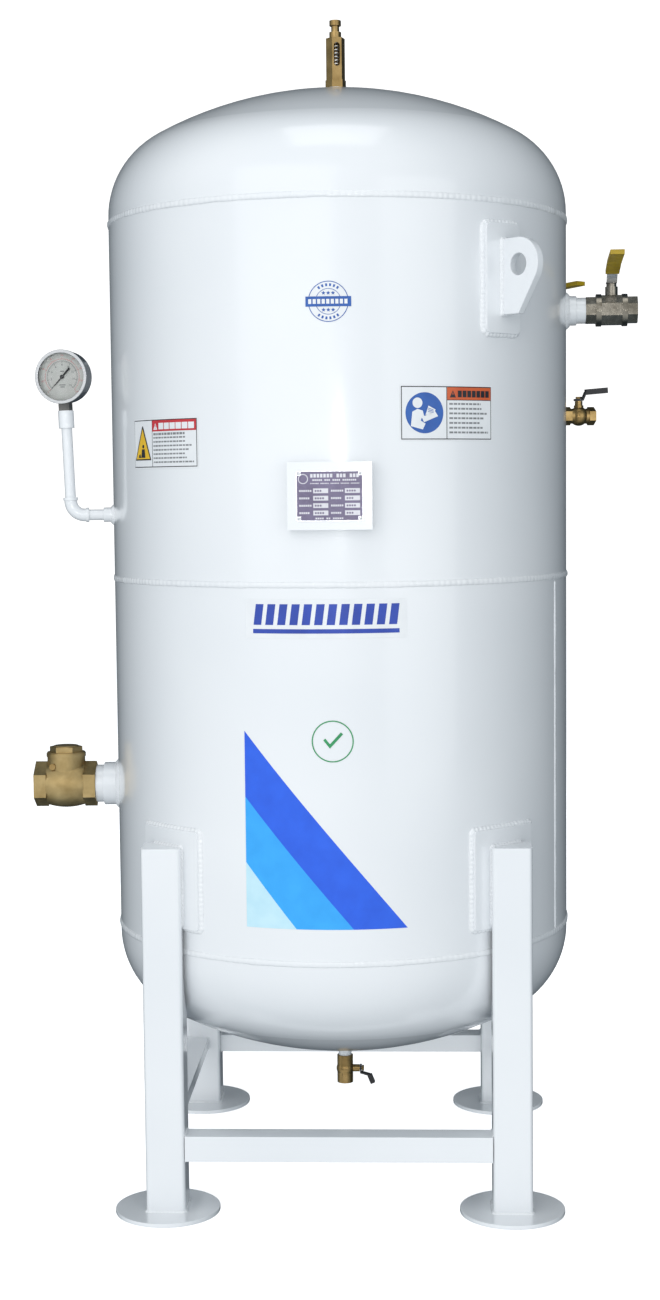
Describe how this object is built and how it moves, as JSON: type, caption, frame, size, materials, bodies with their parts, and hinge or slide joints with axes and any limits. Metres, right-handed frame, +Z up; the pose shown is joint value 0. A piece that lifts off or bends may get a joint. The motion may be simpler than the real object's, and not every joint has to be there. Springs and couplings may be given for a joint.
{
  "type": "vertical air receiver tank",
  "caption": "Vertical welded air receiver tank on a box-section stand with lifting lugs, inlet check valve, ball valves, drain valve, safety valve and pressure gauge.",
  "frame": {"origin": "on the floor, at the centre of the four foot plates' undersides and under the vessel's axis", "axes": "+Z up along the vessel's axis; the front, with the nameplate, faces -Y; +X is to the right of the front"},
  "size_m": [1.2265, 0.944, 2.302],
  "materials": {
    "white_paint": "gloss",
    "nameplate_metal": "satin",
    "dark_fitting": "satin",
    "gauge_steel": "polished",
    "gauge_glass": "clear",
    "dial_enamel": "matt",
    "black_enamel": "satin",
    "brass": "cast and machined",
    "nickel_plate": "satin",
    "chrome": "polished",
    "lever_steel": "zinc plated",
    "yellow_sleeve": "dipped",
    "seat_ptfe": "matt",
    "spring_steel": "bright"
  },
  "bodies": {
    "receiver": {"upper_shell": "white_paint", "lower_shell": "white_paint", "top_head": "white_paint", "bottom_head": "white_paint", "weld_beads": "white_paint", "leg_front_left": "white_paint", "leg_front_right": "white_paint", "leg_rear_left": "white_paint", "leg_rear_right": "white_paint", "leg_pads": "white_paint", "foot_plates": "white_paint", "front_bar": "white_paint", "rear_bar": "white_paint", "side_bars": "white_paint", "lifting_lugs": "white_paint", "lug_pads": "white_paint", "nameplate_bracket": "white_paint", "nameplate": "nameplate_metal", "nameplate_rivets": "nameplate_metal", "weld_couplings": "white_paint", "pipe_nipples": "white_paint", "gauge_pipes": "white_paint", "gauge_elbow": "white_paint", "gauge_socket": "white_paint", "gauge_shank": "dark_fitting", "gauge_case": "gauge_steel", "gauge_bezel": "gauge_steel", "gauge_glass": "gauge_glass", "gauge_dial": "dial_enamel", "bourdon_tube": "brass", "check_valve_body": "brass", "check_valve_cap": "brass", "check_hinge_pin": "brass", "outlet_valve_body": "nickel_plate", "rear_valve_body": "nickel_plate", "side_valve_body": "brass", "drain_valve_body": "brass", "valve_seats": "seat_ptfe", "safety_valve_body": "brass", "safety_screw": "brass", "safety_spring": "spring_steel"},
    "outlet_handle": {"outlet_ball": "chrome", "outlet_stem": "nickel_plate", "outlet_lever": "lever_steel", "outlet_grip": "yellow_sleeve", "outlet_nut": "lever_steel"},
    "rear_handle": {"rear_ball": "chrome", "rear_stem": "nickel_plate", "rear_lever": "lever_steel", "rear_grip": "yellow_sleeve", "rear_nut": "lever_steel"},
    "side_handle": {"side_ball": "chrome", "side_stem": "brass", "side_lever": "black_enamel"},
    "drain_handle": {"drain_ball": "chrome", "drain_stem": "brass", "drain_lever": "black_enamel"},
    "flapper": {"check_flapper": "brass"},
    "pointer": {"gauge_pointer": "black_enamel"},
    "safety_plunger": {"safety_spindle": "brass"}
  },
  "joints": [
    {"name": "outlet_turn", "type": "hinge", "parent": "receiver", "child": "outlet_handle", "pos_m": [0.54567, -0.01905, 1.723], "axis": [0, 0, 1], "range_deg": [0, 90]},
    {"name": "rear_turn", "type": "hinge", "parent": "receiver", "child": "rear_handle", "pos_m": [0.36534, 0.40576, 1.712], "axis": [0, 0, 1], "range_deg": [0, 90]},
    {"name": "side_turn", "type": "hinge", "parent": "receiver", "child": "side_handle", "pos_m": [0.49262, 0.132, 1.519], "axis": [0, 0, 1], "range_deg": [-90, 0]},
    {"name": "drain_turn", "type": "hinge", "parent": "receiver", "child": "drain_handle", "pos_m": [0, 0, 0.17737], "axis": [1, 0, 0], "range_deg": [0, 90]},
    {"name": "flapper_swing", "type": "hinge", "parent": "receiver", "child": "flapper", "pos_m": [-0.58914, -0.02057, 0.8155], "axis": [0.0349, -0.9994, 0], "range_deg": [0, 55]},
    {"name": "pointer_turn", "type": "hinge", "parent": "receiver", "child": "pointer", "pos_m": [-0.54427, -0.07649, 1.60137], "axis": [0.1563, 0.9877, 0.0102], "range_deg": [0, 270], "stiffness_Nm_per_rad": 0.002, "springref_deg": -28.65},
    {"name": "safety_lift", "type": "slide", "parent": "receiver", "child": "safety_plunger", "axis": [0, 0, 1], "range_m": [0, 0.004], "stiffness_N_per_m": 5000, "springref_m": -0.02, "deforming": ["safety_spring"]}
  ]
}
